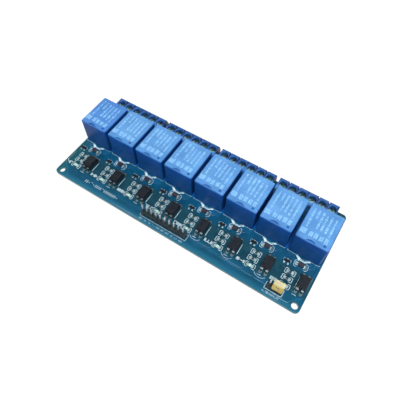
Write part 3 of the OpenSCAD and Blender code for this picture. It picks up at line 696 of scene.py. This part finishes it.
# ---------------------------------------------------------------- plain bars where a board carries lettering
def bars(x0, x1, y, tall, wide, gap):
    """A row of short upright bars, with a few dashes among them."""
    made, x = [], x0
    while x < x1:
        w = wide * rng.choice((1, 1, 1, 2.4))
        if w > wide * 1.5:
            low = y + rng.choice((-0.5, 0.0, 0.5)) * (tall - wide)
            made.append(slab(x, low - wide / 2, x + w, low + wide / 2, 0.05, 1))
        else:
            made.append(slab(x, y - tall / 2, x + w, y + tall / 2, 0.05, 1))
        x += w + gap
    return made


marks = []
for i in CHANNELS:
    led_x = relay_x[i] + LED[0]
    marks += bars(max(led_x - 7.1, board_lo.x + 0.6), led_x - 2.9, LED[1] + 0.05, 1.6, 0.3, 0.2)
for x in signal_pins:
    marks += bars(x - 0.9, x + 0.7, board_lo.y + 1.5, 0.9, 0.15, 0.34)
for x in jumper_pins:
    marks += bars(x - 1.9, x + 0.9, board_lo.y + 1.5, 0.9, 0.16, 0.3)
marks += bars(-51.5, -31, board_lo.y + 3.9, 1.6, 0.26, 0.8)
piece("label_marks", [flats(marks, INK_LOW, INK)], ink)

# ---------------------------------------------------------------- print on the relay covers
# columns of dashes: x from the relay's middle, start and end from its front
COLUMNS = ((-5.35, 6.4, 17.2), (-3.15, 12.0, 17.2), (-1.05, 7.6, 17.2), (0.85, 7.6, 16.4),
           (2.95, 7.2, 16.4), (5.05, 6.4, 17.0))
DASH_HALF = 0.52
# blocks of upright strokes near the front: left and right from the relay's middle
BLOCKS = ((-7.0, -4.2), (-2.95, -1.15), (-0.65, 1.05), (1.85, 3.65), (4.25, 5.85))
STROKE_PITCH = 0.62


def dash_column(x, start, end):
    """Dashes of mixed length and width, one behind the other."""
    made, y = [], relay_front + start
    while y < relay_front + end - 0.3:
        long = rng.choice((0.18, 0.26, 0.34, 0.7))
        half = DASH_HALF if long < 0.3 else DASH_HALF * rng.choice((0.55, 1.0))
        made.append(slab(x - half, y, x + half, y + long, 0.05, 1))
        y += long + rng.choice((0.16, 0.18, 0.2, 0.5))
    return made


def stroke_block(xc, left, right):
    """Upright strokes side by side, with uneven ends."""
    count = max(2, round((right - left) / STROKE_PITCH))
    wide = (right - left) / count
    return [slab(xc + left + k * wide, relay_front + rng.uniform(2.5, 3.0),
                 xc + left + (k + 0.66) * wide, relay_front + rng.uniform(5.1, 5.8), 0.1, 1)
            for k in range(count)]


prints = []
for i in CHANNELS:
    for x, start, end in COLUMNS:
        prints += dash_column(relay_x[i] + x, start, end)
    for left, right in BLOCKS:
        prints += stroke_block(relay_x[i], left, right)
piece("relay_print", [flats(prints, relay_top + 0.002, 0.016, 0.004)], relay_ink)

# ---------------------------------------------------------------- copper under the mask, and bare pads
COPPER = 0.03
CHIP_END = 1.6
FIRST_LANE = board_lo.y + 6.5
LANE_PITCH = 0.62
narrow, broad, pours, pads = [], [], [], []


def cell_tracks(i):
    """Tracks between the small parts of a channel, and from its diode to the relay's coil."""
    xc, ox, oy = relay_x[i], opto_at[i].x, opto_at[i].y
    led_x, led_y = xc + LED[0], LED[1]
    (back_x, back_y), (front_x, front_y) = RESISTORS
    narrow.append([(ox - OPTO_LEAD_X, oy - OPTO_LEAD_Y), (ox - OPTO_LEAD_X, oy - 5.6),
                   (led_x + 3.4, led_y), (led_x + CHIP_END, led_y)])
    narrow.append([(xc + front_x - CHIP_END, front_y), (xc - 4.9, -16.9), (xc - 4.9, -18.2),
                   (led_x - CHIP_END, led_y)])
    narrow.append([(xc + back_x + CHIP_END, back_y), (ox - 2.6, -11.6), (ox - OPTO_LEAD_X, oy + OPTO_LEAD_Y)])
    narrow.append([(xc + back_x - CHIP_END, back_y), (xc - 6.5, -11.2), (xc - 6.55, -9.6)])
    broad.append([(xc + DIODE[0] + 2.1, DIODE[1]), (xc + 5.6, -6.2), (xc + RELAY_PIN_X, COIL_Y)])
    broad.append([(xc + DIODE[0] - 2.1, DIODE[1]), (xc - 3.2, -6.4), (xc - RELAY_PIN_X, COIL_Y)])


def signal_track(i):
    """A channel's own line, from its pin of the header along a lane to its cell."""
    xc, pin = relay_x[i], signal_pins[i]
    to_left = i < 5
    lane = FIRST_LANE - LANE_PITCH * ((4 - i) if to_left else (i - 5))
    target, lean = (xc + 0.9, 1.0) if to_left else (xc - 3.8, -1.0)
    narrow.append([(pin, signal_y), (pin, lane), (target + lean, lane), (target, lane + 1.0),
                   (target, -20.4)])


def edge_tracks():
    """Supply lines along the front edge: round the left end, and from the jumper round the right end."""
    near_edge, above_hole = board_lo.y + 1.0, board_lo.y + 8.0
    broad.append([(signal_pins[0], signal_y), (signal_pins[0], near_edge), (board_lo.x + 8.0, near_edge),
                  (board_lo.x + 1.0, above_hole), (board_lo.x + 1.0, relay_front - 1.0)])
    broad.append([(jumper_pins[1], jumper_y), (jumper_pins[1], board_lo.y + 2.4),
                  (board_hi.x - 6.5, board_lo.y + 2.4), (board_hi.x - 1.2, board_lo.y + 7.8),
                  (board_hi.x - 1.2, relay_front - 1.5)])


def pad(x, y, half_x, half_y, r):
    """A bare pad given by its middle and half sizes."""
    return slab(x - half_x, y - half_y, x + half_x, y + half_y, r)


def cell_pads(i):
    """Bare pads of a channel's chips, diode, transistor and optocoupler."""
    xc = relay_x[i]
    for x, y in (*RESISTORS, LED):
        for side in (-1, 1):
            pads.append(pad(xc + x + side * 1.25, y, 0.55, 0.72, 0.1))
    for side in (-1, 1):
        pads.append(pad(xc + DIODE[0] + side * 2.0, DIODE[1], 0.85, 0.95, 0.12))
    tx, ty = xc + TRANSISTOR[0], TRANSISTOR[1]
    for dx, dy in ((-0.95, -1.0), (0.95, -1.0), (0, 1.0)):
        pads.append(pad(tx + dx, ty + dy, 0.4, 0.45, 0.08))
    for side in (-1, 1):
        for end in (-1, 1):
            x, y = opto_at[i].x + side * OPTO_LEAD_X, opto_at[i].y + end * OPTO_LEAD_Y
            inner, outer = y - end * 0.8, y + end * 1.55
            pads.append(slab(x - 0.72, min(inner, outer), x + 0.72, max(inner, outer), 0.7, 5))
            pads.append(disc(x, y, 0.42, 12))


for i in CHANNELS:
    cell_tracks(i)
    signal_track(i)
    cell_pads(i)
    pours.append(slab(relay_x[i] + 3.0, relay_front - 3.3, relay_x[i] + 7.9, relay_front - 0.8, 0.6))
edge_tracks()
piece("tracks_top",
      [strokes(narrow, 0.36, board_top, COPPER),
       strokes(broad, 0.9, board_top, COPPER - 0.002),
       flats(pours, board_top + 0.0005, COPPER - 0.005)], masked_copper)
piece("pads_top", [flats(pads, board_top + 0.001, COPPER)], pad_tin)

# ---------------------------------------------------------------- copper and bare pads on the underside
COIL_ROW_Y = -5.2
OPTO_BACK_ROW_Y = -9.2
OPTO_FRONT_ROW_Y = -21.2
LAST_PIN_LINK_Y = -25.5
FIRST_PIN_LINK_Y = -26.4
power, branches, lines_under, rings = [], [], [], []


def contact_tracks(i):
    """Broad lines from a relay's contacts to the three poles of its terminal block."""
    xc, bx = relay_x[i], block_x[i]
    power.append([(xc - RELAY_PIN_X, CONTACT_Y), (bx - POLE, TERMINAL_PIN_Y)])
    power.append([(xc, COMMON_Y), (xc + (bx - xc) * 0.5, CONTACT_Y - 4.0), (bx, TERMINAL_PIN_Y)])
    power.append([(xc + RELAY_PIN_X, CONTACT_Y), (bx + POLE, TERMINAL_PIN_Y)])


def drive_tracks(i):
    """Lines from a relay's coil to its transistor, and from coil and optocoupler to the shared rows."""
    xc, ox, oy = relay_x[i], opto_at[i].x, opto_at[i].y
    coil_x, lead_x = xc + RELAY_PIN_X, ox + OPTO_LEAD_X
    row_end = board_hi.x - 3.0 if i == 8 else xc + CHANNEL_PITCH
    branches.append([(xc - RELAY_PIN_X, COIL_Y), (xc - RELAY_PIN_X, relay_front - 1.2),
                     (xc + TRANSISTOR[0], -6.4)])
    lines_under.append([(coil_x, COIL_Y), (coil_x, COIL_ROW_Y), (row_end, COIL_ROW_Y)])
    branches.append([(lead_x, oy + OPTO_LEAD_Y), (lead_x, OPTO_BACK_ROW_Y)])
    branches.append([(lead_x, oy - OPTO_LEAD_Y), (lead_x, OPTO_FRONT_ROW_Y),
                     (ox + (-6.0 if i > 4 else 6.0), OPTO_FRONT_ROW_Y)])


def shared_rows():
    """The two rows of the optocouplers, joined at the left end, and the links between the headers."""
    left = board_lo.x + 3.0
    lines_under.append([(relay_x[1], OPTO_FRONT_ROW_Y), (left, OPTO_FRONT_ROW_Y),
                        (left, OPTO_BACK_ROW_Y), (relay_x[8], OPTO_BACK_ROW_Y)])
    for pin, jumper, y in ((signal_pins[0], jumper_pins[2], FIRST_PIN_LINK_Y),
                           (signal_pins[9], jumper_pins[0], LAST_PIN_LINK_Y)):
        lines_under.append([(pin, signal_y), (pin, y), (jumper, y), (jumper, jumper_y)])


def channel_rings(i):
    """Middle and radius of the bare ring round each lead of a channel."""
    xc, bx = relay_x[i], block_x[i]
    relay_pins = ((-RELAY_PIN_X, COIL_Y), (RELAY_PIN_X, COIL_Y), (0.0, COMMON_Y),
                  (-RELAY_PIN_X, CONTACT_Y), (RELAY_PIN_X, CONTACT_Y))
    made = [(xc + x, y, 1.5) for x, y in relay_pins]
    made += [(bx + x, TERMINAL_PIN_Y, 1.6) for x in (-POLE, 0.0, POLE)]
    made += [(opto_at[i].x + side * OPTO_LEAD_X, opto_at[i].y + end * OPTO_LEAD_Y, 0.95)
             for side in (-1, 1) for end in (-1, 1)]
    return made


for i in CHANNELS:
    contact_tracks(i)
    drive_tracks(i)
    rings += channel_rings(i)
shared_rows()
rings += [(x, signal_y, 0.95) for x in signal_pins] + [(x, jumper_y, 0.95) for x in jumper_pins]
copper_low = board_under - COPPER
piece("tracks_under",
      [strokes(power, 2.6, copper_low, COPPER),
       strokes(branches, 0.6, copper_low + 0.002, COPPER - 0.002),
       strokes(lines_under, 0.6, copper_low + 0.004, COPPER - 0.004)], masked_copper)
discs = [disc(x, y, r) for x, y, r in rings]
piece("pads_under", [flats(discs, copper_low - 0.004, COPPER)], pad_tin)

# ---------------------------------------------------------------- floor, light and camera
FLOOR_HALF = 1.5


def white_sweep():
    """White to the camera, behind clear parts and in reflections, and brighter far away.

    To the light on the object it is a dull grey.
    """
    material = bpy.data.materials.new("white_sweep")
    material.use_nodes = True
    f = Nodes(material.node_tree)
    f.tree.nodes.remove(f.tree.nodes["Principled BSDF"])
    seen, through, mirrored = (f.math("MULTIPLY", f.node("LightPath", f"Is {ray} Ray"), level)
                               for ray, level in (("Camera", 0.88), ("Transmission", 0.88), ("Glossy", 0.80)))
    strength = f.math("MAXIMUM", f.math("MAXIMUM", seen, through), mirrored)
    away = f.node("VectorMath", "Value", {"operation": "LENGTH"}, i0=f.node("TexCoord", "Object"))
    rise = f.span(away, 0.15, 0.60, 1.0, 1.14)
    glow = f.node("Emission", Color=(1, 1, 1, 1), Strength=f.math("MULTIPLY", strength, rise))
    matt = f.node("BsdfDiffuse", Color=(0.16, 0.16, 0.16, 1))
    both = f.node("AddShader", i0=glow, i1=matt)
    f.tree.links.new(both, f.tree.nodes["Material Output"].inputs["Surface"])
    return material


def white_world():
    """White to the camera, a low even light on the object, and a little more in its reflections."""
    world = bpy.data.worlds.new("studio")
    world.use_nodes = True
    f = Nodes(world.node_tree)
    level = f.span(f.node("LightPath", "Is Glossy Ray"), 0.0, 1.0, 0.17, 0.30)
    strength = f.math("MAXIMUM", f.node("LightPath", "Is Camera Ray"), level)
    background = f.tree.nodes["Background"]
    background.inputs["Color"].default_value = (1, 1, 1, 1)
    f.tree.links.new(strength, background.inputs["Strength"])
    return world


def softbox(name, toward, distance, size, watts):
    """A square lamp that faces the origin from the given direction."""
    data = bpy.data.lights.new(name, "AREA")
    data.shape = "SQUARE"
    data.size = size
    data.energy = watts
    lamp = bpy.data.objects.new(name, data)
    lamp.location = Vector(toward).normalized() * distance
    lamp.rotation_euler = (-lamp.location).to_track_quat("-Z", "Y").to_euler()
    bpy.context.scene.collection.objects.link(lamp)


bm = bmesh.new()
bmesh.ops.create_grid(bm, x_segments=8, y_segments=8, size=FLOOR_HALF)
floor_mesh = bpy.data.meshes.new("floor")
bm.to_mesh(floor_mesh)
bm.free()
floor_mesh.materials.append(white_sweep())
floor = bpy.data.objects.new("floor", floor_mesh)
floor.location.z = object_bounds()[0][2]
bpy.context.scene.collection.objects.link(floor)
bpy.context.scene.world = white_world()

softbox("key", (0.20, -0.34, 1.0), 0.70, 0.32, 4.4)
softbox("right", (1.0, 0.25, 0.28), 0.80, 0.40, 2.8)
softbox("front", (0.05, -1.0, 0.35), 0.80, 0.40, 1.5)
softbox("behind", (0.1, 1.0, 0.40), 0.80, 0.40, 1.6)
softbox("left", (-1.0, 0.3, 0.30), 0.80, 0.40, 1.4)

AZIMUTH, ELEVATION, ROLL = math.radians(31.83), math.radians(59.21), math.radians(0.65)
AIM = Vector((3.83, -2.56, board_top)) * MM
DISTANCE = 0.19598
camera_data = bpy.data.cameras.new("camera")
camera_data.lens = 35.59
camera_data.sensor_width = 36.0
camera_data.clip_start = 0.01
camera = bpy.data.objects.new("camera", camera_data)
bpy.context.scene.collection.objects.link(camera)
toward = Vector((math.cos(ELEVATION) * math.sin(AZIMUTH), -math.cos(ELEVATION) * math.cos(AZIMUTH),
                 math.sin(ELEVATION)))
camera.location = AIM + toward * DISTANCE
turn = (-toward).to_track_quat("-Z", "Y").to_matrix() @ Matrix.Rotation(ROLL, 3, "Z")
camera.rotation_euler = turn.to_euler()
bpy.context.scene.camera = camera
bpy.context.scene.view_settings.view_transform = "Standard"
